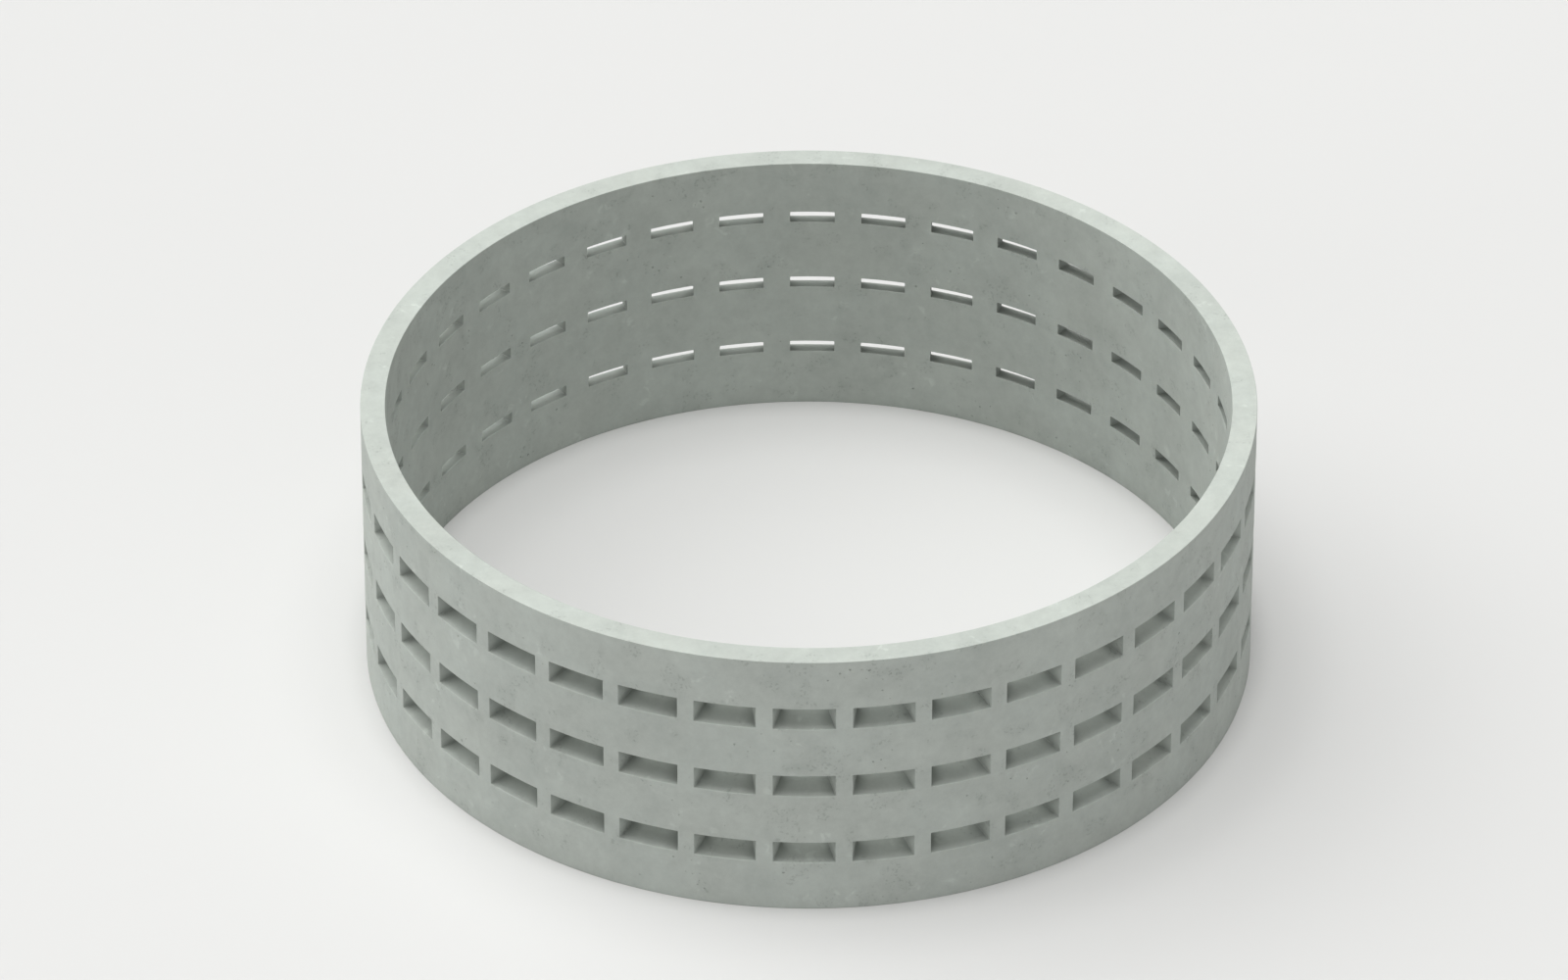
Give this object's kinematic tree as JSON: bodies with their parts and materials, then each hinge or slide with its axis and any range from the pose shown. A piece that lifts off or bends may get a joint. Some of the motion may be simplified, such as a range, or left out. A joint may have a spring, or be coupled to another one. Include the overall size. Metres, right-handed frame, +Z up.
{
  "type": "slotted concrete ring",
  "caption": "Low, wide precast concrete ring with plain flat rims and rows of tapered drainage slots through its wall, standing on its end.",
  "frame": {"origin": "centre of the bottom rim, on the ring's axis, level with the ground", "axes": "+Z up along the ring's axis; -Y points out through the middle of one slot of each row, on the side the picture was taken from"},
  "size_m": [3.6576, 3.6576, 1.2192],
  "materials": {
    "concrete": "matte, fine form-cast concrete"
  },
  "bodies": {
    "root": {"concrete_ring": "concrete"}
  },
  "joints": []
}
